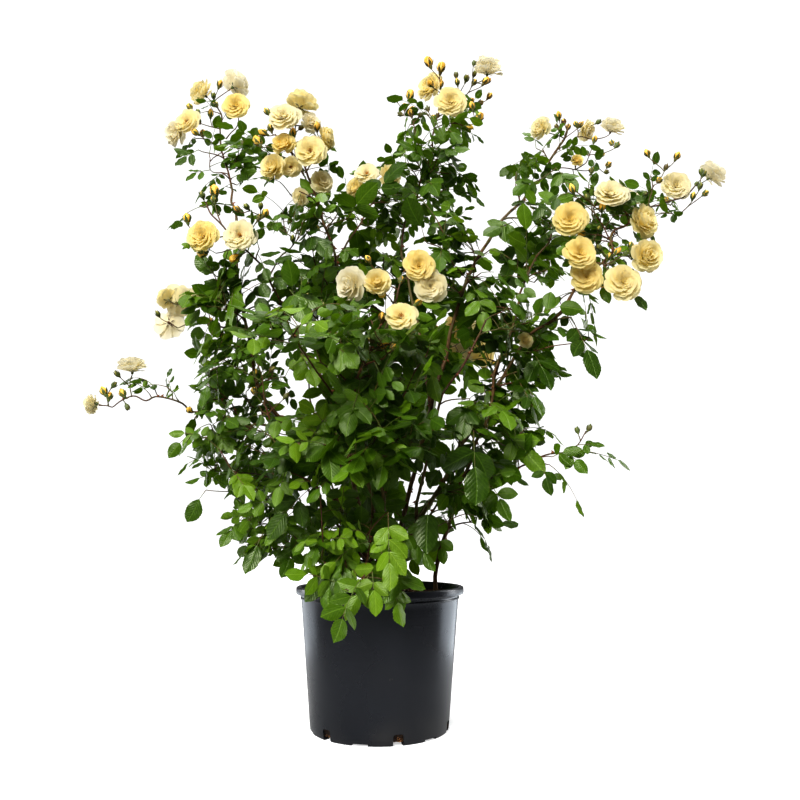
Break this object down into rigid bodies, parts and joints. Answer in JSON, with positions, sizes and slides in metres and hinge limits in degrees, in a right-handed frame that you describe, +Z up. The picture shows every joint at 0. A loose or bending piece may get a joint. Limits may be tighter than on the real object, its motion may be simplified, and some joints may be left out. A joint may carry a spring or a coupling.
{
  "type": "potted rose bush",
  "caption": "Pot-grown rose bush: long arching canes and leafy masses, with sprays of pale yellow double blooms and buds, in a round black nursery pot filled with compost.",
  "frame": {"origin": "centre of the pot's flat underside, on the surface that it stands on", "axes": "+Z up; +X towards the side with the tall right-hand canes; +Y towards the back of the plant, so that the front faces -Y"},
  "size_m": [1.1881, 0.8219, 1.2439],
  "materials": {
    "pot_plastic": "smooth moulded charcoal-black plastic, semi-gloss, light dust and scuffs",
    "compost": "dark, matt, crumbly bark compost with a few pale chips",
    "bark": "tan-brown bark with fine long cracks, leaf scars and prickles",
    "young_stem": "smooth red-brown to olive-green young stem with small prickles",
    "leaf": "deep to yellow-green toothed leaflets, slightly glossy above, paler below",
    "bloom": "soft pale yellow to cream petals, golden towards the heart"
  },
  "bodies": {
    "root": {"pot": "pot_plastic", "root_ball": "compost", "stock": "bark", "cane_left": "bark", "cane_centre_left": "bark", "cane_front": "bark", "cane_centre_right": "bark", "cane_right": "bark", "cane_back": "bark", "cane_outer_right": "bark", "bough_far_left": "young_stem", "bough_left_cluster": "young_stem", "bough_upper_left": "young_stem", "bough_second_left": "young_stem", "bough_top": "young_stem", "bough_upper_right": "young_stem", "bough_right_arm": "young_stem", "bough_far_right": "young_stem", "bough_low_right": "young_stem", "bough_back_left": "young_stem", "bough_back_right": "young_stem", "blooms_front": "bloom", "blooms_left_pair": "bloom", "blooms_left_cluster": "bloom", "blooms_far_left_spray": "bloom", "blooms_upper_left": "bloom", "blooms_second_left": "bloom", "blooms_top": "bloom", "blooms_upper_right": "bloom", "blooms_right": "bloom", "blooms_far_right": "bloom", "blooms_back_left": "bloom", "blooms_back_right": "bloom", "foliage_skirt_front": "leaf", "foliage_foot_left": "leaf", "foliage_foot_right": "leaf", "foliage_foot_front": "leaf", "foliage_foot_back": "leaf", "foliage_low_left": "leaf", "foliage_low_right": "leaf", "foliage_low_front": "leaf", "foliage_low_back": "leaf", "foliage_mid_left": "leaf", "foliage_mid_right": "leaf", "foliage_mid_front": "leaf", "foliage_mid_back": "leaf", "foliage_upper_left": "leaf", "foliage_upper_centre_left": "leaf", "foliage_upper_centre_right": "leaf", "foliage_upper_right": "leaf", "foliage_upper_back": "leaf", "foliage_right_arm": "leaf", "foliage_low_right_spray": "leaf", "foliage_front_spray": "leaf", "foliage_second_left_stem": "leaf", "foliage_neck": "leaf", "foliage_top_stem": "leaf", "foliage_upper_left_stem": "leaf", "foliage_upper_right_stem": "leaf"}
  },
  "joints": []
}
